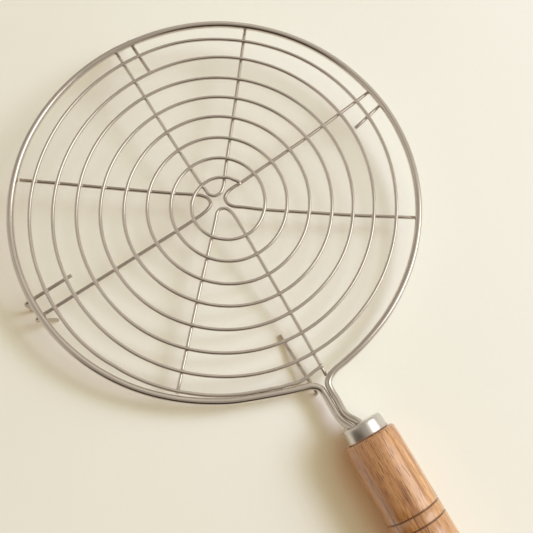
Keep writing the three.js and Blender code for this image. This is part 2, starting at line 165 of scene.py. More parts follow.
STEM_PLUS = [
    axis_point(TANG_END, TANG),
    axis_point(152, TANG),
    axis_point(140, TANG),
    (134.16, 2.18, 21.26),
    (130.83, 1.11, 20.93),
    (127.97, -0.18, 19.85),
    (124.84, -1.84, 17.9),
    (122.05, -2.42, RING_Z + 1.55),
    (118.42, -2.16, RING_Z + 0.65),
    (114.72, -1.87, RING_Z + 0.2),
    (110.6, -1.86, RING_Z),
    (106.35, -1.05, RING_Z),
    (103.6, 3.3, RING_Z),
    (102, 13.2, RING_Z),
    (100.08, 23.24, RING_Z),
]
STEM_MINUS = [
    (99.1, -22, RING_Z),
    (101.9, -14.05, RING_Z),
    (103.9, -8.6, RING_Z),
    (106.85, -5.9, RING_Z),
    (110.2, -5.6, RING_Z),
    (114.4, -5.7, RING_Z + 0.25),
    (118.2, -5.86, RING_Z + 0.75),
    (121.67, -6.06, RING_Z + 1.5),
    (125.54, -5.5, 18.15),
    (129.63, -3.75, 20.4),
    (132.59, -2.06, 21.1),
    (135.34, -1.4, 21.36),
    axis_point(140, -TANG),
    axis_point(152, -TANG),
    axis_point(TANG_END, -TANG),
]
RIM = []
for i, r in enumerate(RIM_RADII):
    a = math.radians(RIM_FROM + 6 * i)
    RIM.append((r * math.cos(a), r * math.sin(a), RING_Z))
ring_path = catmull(STEM_PLUS + RIM + STEM_MINUS, 1.1)

START_LIFT = [
    (0, 2.9), (20, 1.7), (40, 0.7), (60, 0.25), (80, 0.05), (100, 0.1), (120, 0.6), (145, 1.2),
    (160, 1.2), (185, 0.9), (217, 0.55), (240, 0.1), (270, 0.1), (300, -0.4), (325, -0.4), (350, 0),
]
OUTER_TURN = [
    (2715.7, 96.76), (2720, 96.87), (2728, 97.02), (2737, 97.24), (2745, 97.5), (2749, 97.63),
    (2753.5, 97.65), (2758, 97.71), (2762, 98.03), (2766, 98.75), (2770.4, 99.62), (2772.8, 99.3),
    (2775.9, 98.4), (2778.6, 97.8),
]


def table(rows, x):
    if x <= rows[0][0]:
        return rows[0][1]
    for (x0, y0), (x1, y1) in zip(rows, rows[1:]):
        if x <= x1:
            f = (x - x0) / (x1 - x0)
            return y0 + (y1 - y0) * f * f * (3 - 2 * f)
    return rows[-1][1]


WAVE = [
    0.07, 0.08, 0.11, -0.01, -0.22, -0.44, -0.46, -0.47, -0.51, -0.53, -0.5, -0.18, -0.03, -0.11,
    -0.18, -0.17, -0.04, 0.15, 0.4, 0.67, 0.86, 0.81, 0.73, 0.51, 0.3, 0.19, 0, -0.17,
    -0.41, -0.62, -0.68, -0.72, -0.63, -0.54, -0.38, -0.31, -0.32, -0.43, -0.32, -0.08, 0.18, 0.34,
    0.44, 0.45, 0.42, 0.33, 0.28, 0.14, -0.08, -0.14, -0.21, -0.28, -0.44, -0.74, -0.87, -0.82,
    -0.59, -0.38, -0.23, -0.24, -0.41, -0.49, -0.34, 0.07, 0.54, 0.9, 1, 0.93, 0.79, 0.6,
    0.48, 0.24, 0.12, 0.11, 0.08, 0.12, -0.12, -0.55, -0.81, -0.96, -0.82, -0.56, -0.08, 0.02,
    -0.18, -0.43, -0.52, -0.19, 0.4, 0.87, 1.11, 1.17, 1.02, 0.79, 0.54, 0.27, -0.07, -0.14,
    -0.14, -0.13, -0.39, -0.82, -1.06, -1.06, -0.88, -0.55, -0.1, 0.04, 0.06, 0.05, -0.06, 0.12,
    0.42, 0.47, 0.43, 0.55, 0.55, 0.39, 0.24, 0.06, -0.11, -0.31, -0.41, -0.4, -0.44, -0.52,
    -0.42, -0.22, -0.33, -0.28, -0.09, -0.21, -0.2, -0.02, -0.06, 0.06, 0.35, 0.52, 0.5, 0.35,
    0.02, -0.12, -0.04, 0.04, 0.1, 0.24, 0.39, 0.36, -0.27, -1.16, -1.4, -1.22, -0.89, -0.46,
    -0.19, -0.23, -0.36, -0.41, -0.49, -0.25, 0.23, 0.39, 0.47, 0.48, 0.3, 0.15, 0.34, 0.39,
    0.28, 0.1, -0.34, -0.47, -0.26, -0.78, -0.83, -0.84, -0.84, -0.57, -0.66, -0.98, -1.13, -0.47,
    -0.3, -0.27, 0, 0, 0,
]


def wave(phi):
    x = phi / 15
    i = min(len(WAVE) - 2, int(x))
    f = x - i
    a, b, c, d = WAVE[max(0, i - 1)], WAVE[i], WAVE[i + 1], WAVE[min(len(WAVE) - 1, i + 2)]
    return b + 0.5 * f * (c - a + f * (2 * a - 5 * b + 4 * c - d + f * (3 * (b - c) + d - a)))


def spiral_radius(phi):
    t = math.radians(phi)
    u = phi / 2880
    r = (
        SPIRAL_R0
        + SPIRAL_PITCH * t / (2 * math.pi)
        + (2.043 - 0.686 * u) * math.cos(t)
        + (-2.0 + 0.782 * u) * math.sin(t)
        + (-0.567 + 1.168 * u) * math.cos(2 * t)
        + (0.291 - 0.12 * u) * math.sin(2 * t)
    )
    if phi < 350:
        r += table(START_LIFT, phi)
    if phi > 2700:
        f = min(1.0, (phi - 2700) / 15.7)
        r = r * (1 - f) + table(OUTER_TURN, phi) * f
    return r + wave(phi)


def spiral_point(phi):
    a, r = math.radians(SPIRAL_START + phi), spiral_radius(phi)
    return (r * math.cos(a), r * math.sin(a), SPIRAL_Z)


spiral_path = resample(np.array([spiral_point(f) for f in np.linspace(0, SPIRAL_END, 9000)]), 1.3)


def hairpin(out_a, leg_a, inner, out_b, leg_b):
    mid = catmull([(x, y, SPOKE_Z) for x, y in inner], 0.6)
    a0, b0 = tuple(mid[0]), tuple(mid[-1])
    if leg_a:
        head = bent([*leg_a[::-1], (*out_a, SPOKE_Z, 3.0), a0])[:-1]
    else:
        head = bent([(*out_a, SPOKE_Z), a0])[:-1]
    if leg_b:
        tail = bent([b0, (*out_b, SPOKE_Z, 1.8), *leg_b])[1:]
    else:
        tail = bent([b0, (*out_b, SPOKE_Z)])[1:]
    return np.vstack([head, mid, tail])


def footing(x, y, length=1.6, r=2.2):
    """The last stretch of a leg, square to the table, that ends on it at (x, y)."""
    end = np.array([x, y, table_z(x, y)])
    return [(*(end + UPRIGHT * length), r), tuple(end)]


HAIRPINS = {
    "spoke_pair_nw": hairpin(
        (-104.5, -3.3),
        footing(-116.4, -3.5),
        [
            (-78, -2.88), (-50, -2.77), (-23.2, -2.31), (-14, -2.07), (-9.66, -1.68), (-6.75, -1.25), (-4.6, 0.74),
            (-4.35, 4.1), (-6.55, 7.25), (-10.15, 10.04), (-16.17, 14.63), (-25.62, 22.32), (-49.66, 41.57), (-65.83, 54.21),
        ],
        (-79.85, 65.27),
        None,
    ),
    "spoke_pair_sw": hairpin(
        (-62.32, -80.36),
        None,
        [
            (-51.27, -64.96), (-37.87, -46.69), (-24, -27.4), (-15.25, -15.03), (-10.73, -8.45), (-7.75, -4.75), (-4.8, -2.85),
            (-1.7, -3.2), (0, -6.2), (0.85, -9.84), (1.17, -13.58), (1.72, -20.39), (2.98, -44.98), (4.36, -74.96),
        ],
        (5.92, -107.9),
        footing(8.3, -99.6),
    ),
    "spoke_pair_ne": hairpin(
        (-13.35, 104.9),
        None,
        [
            (-10.87, 86.05), (-7.97, 62.05), (-5.57, 36), (-4.49, 24.11), (-3.67, 16.03), (-3.45, 10.82), (-2.75, 7.5),
            (-0.95, 4.95), (2.1, 4.4), (5, 5.95), (8.6, 10.6), (14.88, 18.73), (26.6, 35.8), (42.8, 59.45),
            (50.5, 71.5),
        ],
        (59.2, 84.9),
        None,
    ),
    "spoke_pair_se": hairpin(
        (72.66, -66.04),
        None,
        [
            (58, -52.6), (37.99, -34.31), (17, -14.7), (11.8, -9.9), (6.85, -5.35), (4.1, -2.84), (3.2, -0.56),
            (4.2, 2), (7.1, 3.55), (11.35, 4.05), (17.01, 3.95), (27.71, 3.55), (50.01, 2.7), (80.01, 1.45),
        ],
        (103.3, 0.39),
        None,
    ),
}
FEET = {
    "foot_nw": bent([(-83.1, 6.7, SPOKE_Z), (-104.5, 6.15, SPOKE_Z, 2.2), *footing(-116.4, 5.85)]),
    "foot_ne": bent([(0.95, 85.6, SPOKE_Z), (-3.55, 105.3, SPOKE_Z)]),
    "foot_sw": bent([(-4.8, -81.4, SPOKE_Z), (-3.5, -107.4, SPOKE_Z, 2.2), footing(-2.482, -107.496)[1]]),
    "foot_se": bent([(74.0, -7.6, 4.47), (92.0, -8.0, 9.0, 30), (107.9, -7.9, SPOKE_Z - 0.85, 2.2), footing(108.3, -7.94)[1]]),
}


# ------------------------------------------------------------------ mesh builders
def new_object(name, verts_mm, faces, smooth=True):
    me = bpy.data.meshes.new(name)
    v = (np.asarray(verts_mm, float) @ LEAN.T + SHIFT) * MM
    me.from_pydata([tuple(q) for q in v], [], faces)
    me.validate()
    me.update()
    if smooth:
        me.polygons.foreach_set("use_smooth", [True] * len(me.polygons))
    ob = bpy.data.objects.new(name, me)
    bpy.context.scene.collection.objects.link(ob)
    return ob


def vec_attribute(me, name, values):
    at = me.attributes.new(name, "FLOAT_VECTOR", "POINT")
    at.data.foreach_set("vector", np.asarray(values, float).ravel())


def tube(name, path, d, sides, end_bevel=0.18):
    """A round wire along path, with cut ends whose rims are slightly rounded."""
    p = np.asarray(path, float)
    keep = np.r_[True, np.linalg.norm(np.diff(p, axis=0), axis=1) > 1e-4]
    p = p[keep]
    t = np.gradient(p, axis=0)
    t[0], t[-1] = p[1] - p[0], p[-1] - p[-2]
    seg = np.diff(p, axis=0)
    seg /= np.linalg.norm(seg, axis=1)[:, None]
    t[1:-1] = seg[1:] + seg[:-1]
    t /= np.linalg.norm(t, axis=1)[:, None]
    n = np.zeros_like(p)
    ref = np.array([0, 0, 1.0]) if abs(t[0][2]) < 0.9 else np.array([1.0, 0, 0])
    n[0] = ref - t[0] * (ref @ t[0])
    n[0] /= np.linalg.norm(n[0])
    for i in range(1, len(p)):
        q = n[i - 1] - t[i] * (n[i - 1] @ t[i])
        n[i] = q / np.linalg.norm(q)
    b = np.cross(t, n)
    length = np.r_[0, np.cumsum(np.linalg.norm(np.diff(p, axis=0), axis=1))]
    # stations, radius and axial offset of each ring of vertices
    e = end_bevel
    rows = [(0, 1 - e / (d / 2), 0.0), (0, 1 - 0.3 * e / (d / 2), 0.3 * e), (0, 1.0, e)]
    rows += [(i, 1.0, 0.0) for i in range(1, len(p) - 1) if length[i] > e * 1.5 and length[-1] - length[i] > e * 1.5]
    rows += [(len(p) - 1, 1.0, -e), (len(p) - 1, 1 - 0.3 * e / (d / 2), -0.3 * e), (len(p) - 1, 1 - e / (d / 2), 0.0)]
    ang = 2 * math.pi * np.arange(sides) / sides
    verts, wp = [], []
    for i, f, off in rows:
        c = p[i] + t[i] * off
        ring = c + (d / 2 * f) * (np.cos(ang)[:, None] * n[i] + np.sin(ang)[:, None] * b[i])
        verts.append(ring)
        wp.append(np.stack([np.cos(ang) * d / 2, np.sin(ang) * d / 2, np.full(sides, length[i] + off)], -1))
    verts = np.vstack(verts)
    m = len(rows)
    faces = []
    for i in range(m - 1):
        for k in range(sides):
            a0, a1 = i * sides + k, i * sides + (k + 1) % sides
            faces.append((a0, a1, a1 + sides, a0 + sides))
    faces.append(tuple(range(sides - 1, -1, -1)))
    faces.append(tuple((m - 1) * sides + k for k in range(sides)))
    ob = new_object(name, verts, faces)
    ob.data.polygons[-1].use_smooth = False
    ob.data.polygons[-2].use_smooth = False
    vec_attribute(ob.data, "wirep", np.vstack(wp))
    return ob


def lathe(name, profile, segments, closed=True):
    """profile is (radius, distance along the handle axis); a solid of revolution about the handle axis."""
    verts, local, rows = [], [], []
    for r, x in profile:
        start = len(verts)
        count = 1 if r < 1e-9 else segments
        for j in range(count):
            th = 2 * math.pi * j / segments
            ly, lz = r * math.cos(th), r * math.sin(th)
            verts.append(axis_point(x, ly, lz))
            local.append((x, ly, lz))
        rows.append((start, count))
    faces = []
    pairs = list(zip(rows, rows[1:])) + ([(rows[-1], rows[0])] if closed else [])
    for (s0, n0), (s1, n1) in pairs:
        for j in range(segments):
            q = (j + 1) % segments
            if n0 == 1 and n1 == 1:
                continue
            if n0 == 1:
                faces.append((s0, s1 + q, s1 + j))
            elif n1 == 1:
                faces.append((s0 + j, s0 + q, s1))
            else:
                faces.append((s0 + j, s0 + q, s1 + q, s1 + j))
    return verts, local, faces


def sharp_by_angle(ob, degrees):
    me = ob.data
    import bmesh

    bm = bmesh.new()
    bm.from_mesh(me)
    bmesh.ops.recalc_face_normals(bm, faces=bm.faces)
    lim = math.radians(degrees)
    for e in bm.edges:
        if len(e.link_faces) == 2 and e.calc_face_angle(0.0) > lim:
            e.smooth = False
    bm.to_mesh(me)
    bm.free()


# ------------------------------------------------------------------ materials
def material(name):
    m = bpy.data.materials.new(name)
    m.use_nodes = True
    nt = m.node_tree
    nt.nodes.clear()
    out = nt.nodes.new("ShaderNodeOutputMaterial")
    bsdf = nt.nodes.new("ShaderNodeBsdfPrincipled")
    nt.links.new(bsdf.outputs[0], out.inputs[0])
    return m, nt, bsdf


def node(nt, kind, **inputs):
    n = nt.nodes.new(kind)
    for key, val in inputs.items():
        if hasattr(n, key) and key not in n.inputs:
            setattr(n, key, val)
        else:
            n.inputs[key].default_value = val
    return n


def ramp(nt, stops, interpolation="LINEAR"):
    n = nt.nodes.new("ShaderNodeValToRGB")
    cr = n.color_ramp
    cr.interpolation = interpolation
    while len(cr.elements) > 1:
        cr.elements.remove(cr.elements[-1])
    cr.elements[0].position, cr.elements[0].color = stops[0][0], (*stops[0][1], 1)
    for pos, col in stops[1:]:
        e = cr.elements.new(pos)
        e.color = (*col, 1)
    return n


def math_node(nt, op, a, b=None, clamp=False):
    n = nt.nodes.new("ShaderNodeMath")
    n.operation = op
    n.use_clamp = clamp
    for i, v in enumerate((a, b)):
        if v is None:
            continue
        if isinstance(v, (int, float)):
            n.inputs[i].default_value = v
        else:
            nt.links.new(v, n.inputs[i])
    return n.outputs[0]


def steel(name, base, rough, dark=0.8, bump=0.02):
    m, nt, bsdf = material(name)
    L = nt.links.new
    at = node(nt, "ShaderNodeAttribute")
    at.attribute_name = "wirep"
    # long draw marks: fine round the wire, slow along it
    mp = node(nt, "ShaderNodeMapping")
    mp.inputs["Scale"].default_value = (2.2, 2.2, 0.06)
    L(at.outputs["Vector"], mp.inputs["Vector"])
    draw = node(nt, "ShaderNodeTexNoise", Scale=1.6, Detail=4.0, Roughness=0.6)
    L(mp.outputs[0], draw.inputs["Vector"])
    tc = node(nt, "ShaderNodeTexCoord")
    tint = node(nt, "ShaderNodeTexNoise", Scale=60.0, Detail=3.0, Roughness=0.55)
    L(tc.outputs["Object"], tint.inputs["Vector"])
    fine = node(nt, "ShaderNodeTexNoise", Scale=2600.0, Detail=2.0, Roughness=0.5)
    L(tc.outputs["Object"], fine.inputs["Vector"])
    col = ramp(nt, [(0.3, tuple(c * dark for c in base)), (0.7, base)])
    mixv = math_node(nt, "ADD", math_node(nt, "MULTIPLY", draw.outputs[0], 0.6), math_node(nt, "MULTIPLY", tint.outputs[0], 0.4))
    L(mixv, col.inputs[0])
    L(col.outputs[0], bsdf.inputs["Base Color"])
    bsdf.inputs["Metallic"].default_value = 1.0
    rg = math_node(nt, "ADD", rough - 0.07, math_node(nt, "MULTIPLY", draw.outputs[0], 0.14))
    L(rg, bsdf.inputs["Roughness"])
    bp = node(nt, "ShaderNodeBump", Strength=0.35, Distance=bump * MM)
    hsum = math_node(nt, "ADD", draw.outputs[0], math_node(nt, "MULTIPLY", fine.outputs[0], 0.25))
    L(hsum, bp.inputs["Height"])
    L(bp.outputs[0], bsdf.inputs["Normal"])
    return m


def cap_steel(name, base, rough):
    m, nt, bsdf = material(name)
    L = nt.links.new
    at = node(nt, "ShaderNodeAttribute")
    at.attribute_name = "axisp"
    mp = node(nt, "ShaderNodeMapping")
    mp.inputs["Scale"].default_value = (0.12, 1.6, 1.6)
    L(at.outputs["Vector"], mp.inputs["Vector"])
    brush = node(nt, "ShaderNodeTexNoise", Scale=2.2, Detail=5.0, Roughness=0.65)
    L(mp.outputs[0], brush.inputs["Vector"])
    blot = node(nt, "ShaderNodeTexNoise", Scale=0.35, Detail=3.0, Roughness=0.5)
    L(at.outputs["Vector"], blot.inputs["Vector"])
    col = ramp(nt, [(0.3, tuple(c * 0.86 for c in base)), (0.7, base)])
    L(math_node(nt, "ADD", math_node(nt, "MULTIPLY", brush.outputs[0], 0.7), math_node(nt, "MULTIPLY", blot.outputs[0], 0.3)), col.inputs[0])
    L(col.outputs[0], bsdf.inputs["Base Color"])
    bsdf.inputs["Metallic"].default_value = 1.0
    L(math_node(nt, "ADD", rough - 0.06, math_node(nt, "MULTIPLY", brush.outputs[0], 0.12)), bsdf.inputs["Roughness"])
    # the pressed wall bulges a little, which turns its sheen towards the handle
    geo = node(nt, "ShaderNodeNewGeometry")
    bulge = node(nt, "ShaderNodeVectorMath", operation="ADD")
    L(geo.outputs["Normal"], bulge.inputs[0])
    bulge.inputs[1].default_value = (0.2, 0.0, 0.0)
    unit = node(nt, "ShaderNodeVectorMath", operation="NORMALIZE")
    L(bulge.outputs[0], unit.inputs[0])
    bp = node(nt, "ShaderNodeBump", Strength=0.3, Distance=0.02 * MM)
    L(unit.outputs[0], bp.inputs["Normal"])
    L(brush.outputs[0], bp.inputs["Height"])
    L(bp.outputs[0], bsdf.inputs["Normal"])
    return m


def wood(name):
    m, nt, bsdf = material(name)
    L = nt.links.new
    at = node(nt, "ShaderNodeAttribute")
    at.attribute_name = "axisp"

    def stretched(scale, **kw):
        mp = node(nt, "ShaderNodeMapping")
        mp.inputs["Scale"].default_value = scale
        L(at.outputs["Vector"], mp.inputs["Vector"])
        t = node(nt, "ShaderNodeTexNoise", **kw)
        L(mp.outputs[0], t.inputs["Vector"])
        return t.outputs[0]

    broad = stretched((0.012, 0.12, 0.12), Scale=1.0, Detail=3.0, Roughness=0.5, Distortion=0.4)
    fibre = stretched((0.05, 1.0, 1.0), Scale=1.0, Detail=5.0, Roughness=0.62, Distortion=0.3)
    streak = stretched((0.045, 0.5, 0.5), Scale=1.0, Detail=3.0, Roughness=0.55, Distortion=0.5)
    pores = stretched((0.17, 2.3, 2.3), Scale=1.0, Detail=2.0, Roughness=0.5)
    base = ramp(
        nt,
        [
            (0.30, (0.31, 0.130, 0.045)),
            (0.45, (0.50, 0.222, 0.072)),
            (0.56, (0.63, 0.310, 0.105)),
            (0.70, (0.73, 0.405, 0.155)),
        ],
    )
    v = math_node(nt, "ADD", math_node(nt, "MULTIPLY", broad, 0.45), math_node(nt, "MULTIPLY", fibre, 0.55))
    L(v, base.inputs[0])
    dark1 = ramp(nt, [(0.54, (1, 1, 1)), (0.68, (0.62, 0.47, 0.36))])
    L(streak, dark1.inputs[0])
    mul1 = node(nt, "ShaderNodeMix", data_type="RGBA", blend_type="MULTIPLY")
    mul1.inputs[0].default_value = 1.0
    L(base.outputs[0], mul1.inputs[6])
    L(dark1.outputs[0], mul1.inputs[7])
    dark2 = ramp(nt, [(0.57, (1, 1, 1)), (0.66, (0.40, 0.24, 0.15))])
    L(pores, dark2.inputs[0])
    mul2 = node(nt, "ShaderNodeMix", data_type="RGBA", blend_type="MULTIPLY")
    mul2.inputs[0].default_value = 1.0
    L(mul1.outputs[2], mul2.inputs[6])
    L(dark2.outputs[0], mul2.inputs[7])
    # burnt grooves
    sep = node(nt, "ShaderNodeSeparateXYZ")
    L(at.outputs["Vector"], sep.inputs[0])
    burn = None
    for gx in GROOVE_X:
        d = math_node(nt, "ABSOLUTE", math_node(nt, "SUBTRACT", sep.outputs[0], gx))
        g = math_node(nt, "SUBTRACT", 1.0, math_node(nt, "DIVIDE", math_node(nt, "SUBTRACT", d, 0.26), 0.3), clamp=True)
        burn = g if burn is None else math_node(nt, "MAXIMUM", burn, g)
    mul3 = node(nt, "ShaderNodeMix", data_type="RGBA", blend_type="MIX")
    L(burn, mul3.inputs[0])
    L(mul2.outputs[2], mul3.inputs[6])
    mul3.inputs[7].default_value = (0.16, 0.06, 0.018, 1)
    L(mul3.outputs[2], bsdf.inputs["Base Color"])
    L(math_node(nt, "ADD", 0.34, math_node(nt, "MULTIPLY", fibre, 0.2)), bsdf.inputs["Roughness"])
    bsdf.inputs["Specular IOR Level"].default_value = 0.5
    bsdf.inputs["Coat Weight"].default_value = 0.85
    bsdf.inputs["Coat Roughness"].default_value = 0.22
    bsdf.inputs["Coat IOR"].default_value = 2.1
    bp = node(nt, "ShaderNodeBump", Strength=0.5, Distance=0.12 * MM)
    h = math_node(nt, "SUBTRACT", math_node(nt, "MULTIPLY", fibre, 0.8), math_node(nt, "MULTIPLY", math_node(nt, "GREATER_THAN", pores, 0.64), 0.5))
    L(h, bp.inputs["Height"])
    L(bp.outputs[0], bsdf.inputs["Normal"])
    return m


def floor_material(name):
    m, nt, bsdf = material(name)
    L = nt.links.new
    tc = node(nt, "ShaderNodeTexCoord")
    n1 = node(nt, "ShaderNodeTexNoise", Scale=9.0, Detail=4.0, Roughness=0.55)
    n2 = node(nt, "ShaderNodeTexNoise", Scale=420.0, Detail=3.0, Roughness=0.6)
    L(tc.outputs["Object"], n1.inputs["Vector"])
    L(tc.outputs["Object"], n2.inputs["Vector"])
    v = math_node(nt, "ADD", math_node(nt, "MULTIPLY", n1.outputs[0], 0.6), math_node(nt, "MULTIPLY", n2.outputs[0], 0.4))
    col = ramp(nt, [(0.35, (0.815, 0.775, 0.685)), (0.65, (0.83, 0.79, 0.70))])
    L(v, col.inputs[0])
    L(col.outputs[0], bsdf.inputs["Base Color"])
    bsdf.inputs["Roughness"].default_value = 0.75
    bsdf.inputs["Specular IOR Level"].default_value = 0.2
    bp = node(nt, "ShaderNodeBump", Strength=0.15, Distance=0.15 * MM)
    L(n2.outputs[0], bp.inputs["Height"])
    L(bp.outputs[0], bsdf.inputs["Normal"])
    return m


WIRE = steel("wire_steel", (0.75, 0.69, 0.635), 0.15)
# painted shade: a darker copy of the same steel, for the wires that read darker in this light (the sw and ne hairpins
# and the feet)
WIRE_PAINTED_DARK = steel("wire_steel_painted_dark", (0.61, 0.545, 0.485), 0.2)
CAP = cap_steel("cap_steel", (0.78, 0.745, 0.715), 0.3)
WOOD = wood("grip_wood")

# ------------------------------------------------------------------ pieces
def place(ob, cad_node, mat):
    ob.data.materials.clear()
    ob.data.materials.append(mat)
    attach(ob, "root")
    if cad_node:
        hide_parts(cad_node)
    return ob


TRIM = 0.02  # visual wires are this much slimmer than the frame's, mm
place(tube("frame_wire", ring_path, RING_WIRE_D - TRIM, 32, 0.35), "ring_frame", WIRE)
place(tube("spiral_wire", spiral_path, THIN_WIRE_D - TRIM, 16), "spiral_grid", WIRE)
for name, path in HAIRPINS.items():
    # the sw and ne hairpins get the darker steel copy, which is painted shade
    painted_dark = name in ("spoke_pair_sw", "spoke_pair_ne")
    place(
        tube(name.replace("spoke_pair", "hairpin_wire"), path, THIN_WIRE_D - TRIM, 16), name,
        WIRE_PAINTED_DARK if painted_dark else WIRE,
    )
for name, path in FEET.items():
    # the feet also get the darker steel copy, which is painted shade
    place(tube(name + "_wire", path, THIN_WIRE_D - TRIM, 16), name, WIRE_PAINTED_DARK)


# weld beads: small flattened beads where the spiral crosses spokes and feet, and where those pass under the frame wire
def crossings(a, b):
    out = []
    pa, pb = a[:, :2], b[:, :2]
    for i in range(len(pa) - 1):
        p, r = pa[i], pa[i + 1] - pa[i]
        q, s = pb[:-1], pb[1:] - pb[:-1]
        den = r[0] * s[:, 1] - r[1] * s[:, 0]
        den[np.abs(den) < 1e-12] = 1e-12
        w = q - p
        t = (w[:, 0] * s[:, 1] - w[:, 1] * s[:, 0]) / den
        u = (w[:, 0] * r[1] - w[:, 1] * r[0]) / den
        for j in np.nonzero((t >= 0) & (t < 1) & (u >= 0) & (u < 1))[0]:
            out.append((p + r * t[j], r / np.linalg.norm(r)))
    return out


def bead_mesh(items):
    """Flattened ellipsoids at (x, y, z, half length, half width, half height, heading)."""
    verts, faces = [], []
    nu, nv = 14, 7
    for x, y, z, ra, rb, rc, h in items:
        base = len(verts)
        ca, sa = math.cos(h), math.sin(h)
        verts.append((x, y, z + rc))
        for i in range(1, nv):
            ph = math.pi * i / nv
            for j in range(nu):
                th = 2 * math.pi * j / nu
                lx, ly = ra * math.sin(ph) * math.cos(th), rb * math.sin(ph) * math.sin(th)
                verts.append((x + lx * ca - ly * sa, y + lx * sa + ly * ca, z + rc * math.cos(ph)))
        verts.append((x, y, z - rc))
        top, bot = base, len(verts) - 1
        for j in range(nu):
            q = (j + 1) % nu
            faces.append((top, base + 1 + j, base + 1 + q))
            for i in range(nv - 2):
                a0 = base + 1 + i * nu
                faces.append((a0 + j, a0 + nu + j, a0 + nu + q, a0 + q))
            last = base + 1 + (nv - 2) * nu
            faces.append((last + j, bot, last + q))
    return verts, faces


beads = []
rng = np.random.default_rng(7)
zc = SPOKE_Z + THIN_WIRE_D / 2 + WELD_GAP / 2
for name, path in {**HAIRPINS, **FEET}.items():
    flat = path[np.abs(path[:, 2] - SPOKE_Z) < 0.05] if name != "foot_se" else path[path[:, 2] > 9]
    for (x, y), d in crossings(flat, spiral_path):
        k = rng.uniform(0.9, 1.15)
        beads.append((x, y, zc, 1.25 * k, 1.15 * k, 0.42, math.atan2(d[1], d[0])))
    for (x, y), d in crossings(flat, ring_path):
        beads.append((x, y, RING_Z - RING_WIRE_D / 2 - WELD_GAP, 1.5, 1.5, 0.55, math.atan2(d[1], d[0])))
v, f = bead_mesh(beads)
weld = new_object("weld_beads", v, f)
vec_attribute(weld.data, "wirep", np.asarray(v, float))
place(weld, None, WIRE)

# ferrule: a cap with a rounded front rim and an oval opening round the two stems
N = 96
fx0, fx1 = FERRULE_X
fr0, fr1 = FERRULE_D[0] / 2, FERRULE_D[1] / 2


def stadium_radius(th, w, h):
    """Distance from the middle of a w by h stadium to its outline in direction th (th 0 along the width)."""
    r = h / 2
    c = (w - h) / 2
    lo, hi = 0.0, w
    for _ in range(40):
        mid = (lo + hi) / 2
        x, y = abs(mid * math.cos(th)), abs(mid * math.sin(th))
        dx = max(0.0, x - c)
        if math.hypot(dx, y) < r:
            lo = mid
        else:
            hi = mid
    return lo


def ferrule_ring(x, kind, size, off=(0.0, 0.0)):
    out = []
    for j in range(N):
        th = 2 * math.pi * j / N
        r = stadium_radius(th, *size) if kind == "slot" else size
        ly, lz = off[0] + r * math.cos(th), off[1] + r * math.sin(th)
        out.append((x, ly, lz))
    return out


HOLE = (-2.3, -0.35)  # middle of the opening beside the handle axis
rings = [
    ferrule_ring(fx0 + FERRULE_WALL, "slot", (9.7, 5.6), (HOLE[0] + 0.35, HOLE[1] + 0.15)),
    ferrule_ring(fx0 + 0.12, "slot", (9.7, 5.6), HOLE),
    ferrule_ring(fx0, "slot", (9.95, 5.85), HOLE),
    ferrule_ring(fx0, "circle", fr0 - 1.5),
    ferrule_ring(fx0 + 0.06, "circle", fr0 - 1.05),
    ferrule_ring(fx0 + 0.22, "circle", fr0 - 0.62),
    ferrule_ring(fx0 + 0.48, "circle", fr0 - 0.3),
    ferrule_ring(fx0 + 0.85, "circle", fr0 - 0.09),
    ferrule_ring(fx0 + 1.3, "circle", fr0),
    ferrule_ring(fx0 + 2.6, "circle", fr0 + (fr1 - fr0) * 0.25),
    ferrule_ring(fx1 - 0.5, "circle", fr1 - 0.02),
    ferrule_ring(fx1 - 0.12, "circle", fr1 - 0.04),
    ferrule_ring(fx1, "circle", fr1 - 0.16),
    ferrule_ring(fx1, "circle", fr1 - FERRULE_WALL),
    ferrule_ring(fx0 + 1.6, "circle", fr0 - FERRULE_WALL),
    ferrule_ring(fx0 + FERRULE_WALL, "circle", fr0 - FERRULE_WALL - 0.7),
]
verts, local, faces = [], [], []
for rg in rings:
    for x, ly, lz in rg:
        verts.append(axis_point(x, ly, lz))
        local.append((x, ly, lz))
R_ = len(rings)
for i in range(R_):
    for j in range(N):
        q = (j + 1) % N
        a0, b0 = i * N, ((i + 1) % R_) * N
        faces.append((a0 + j, b0 + j, b0 + q, a0 + q))
ferrule = new_object("ferrule_cap", verts, faces)
vec_attribute(ferrule.data, "axisp", local)
sharp_by_angle(ferrule, 35)
place(ferrule, "ferrule", CAP)

# handle: turned grip with a tenon, rounded shoulder, two grooves and a rounded butt
Rh = HANDLE_D / 2 - 0.005
profile = [(0.0, TANG_END + 1.0), (4.1, TANG_END + 1.0), (4.1, TENON_X + 0.2), (4.3, TENON_X)]
profile += [(TENON_D / 2 - 0.4, TENON_X), (TENON_D / 2, TENON_X + 0.4), (TENON_D / 2, HANDLE_START)]
profile += [(fr1 + 0.15, HANDLE_START)]
for a in (15, 30, 45, 60, 75):
    t = math.radians(a)
    profile.append((Rh - 1.75 + 1.5 * math.sin(t), HANDLE_START + 1.5 - 1.5 * math.cos(t)))
profile += [(Rh - 0.25, HANDLE_START + 2.2), (Rh - 0.13, HANDLE_START + 3.6), (Rh - 0.04, HANDLE_START + 5.6), (Rh, HANDLE_START + 8.0)]
x = HANDLE_START + 8.0
for gx in GROOVE_X:
    n = int((gx - 1.2 - x) / 4)
    for k in range(1, n + 1):
        profile.append((Rh, x + (gx - 1.2 - x) * k / (n + 1)))
    w, dp = GROOVE_W / 2, GROOVE_DEEP
    profile += [(Rh, gx - w - 0.12), (Rh - 0.05, gx - w), (Rh - dp * 0.75, gx - w * 0.45), (Rh - dp, gx - w * 0.15)]
    profile += [(Rh - dp, gx + w * 0.15), (Rh - dp * 0.75, gx + w * 0.45), (Rh - 0.05, gx + w), (Rh, gx + w + 0.12)]
    x = gx + w + 0.12
n = int((HANDLE_END - 7 - x) / 5)
for k in range(1, n + 1):
    profile.append((Rh, x + (HANDLE_END - 7 - x) * k / n))
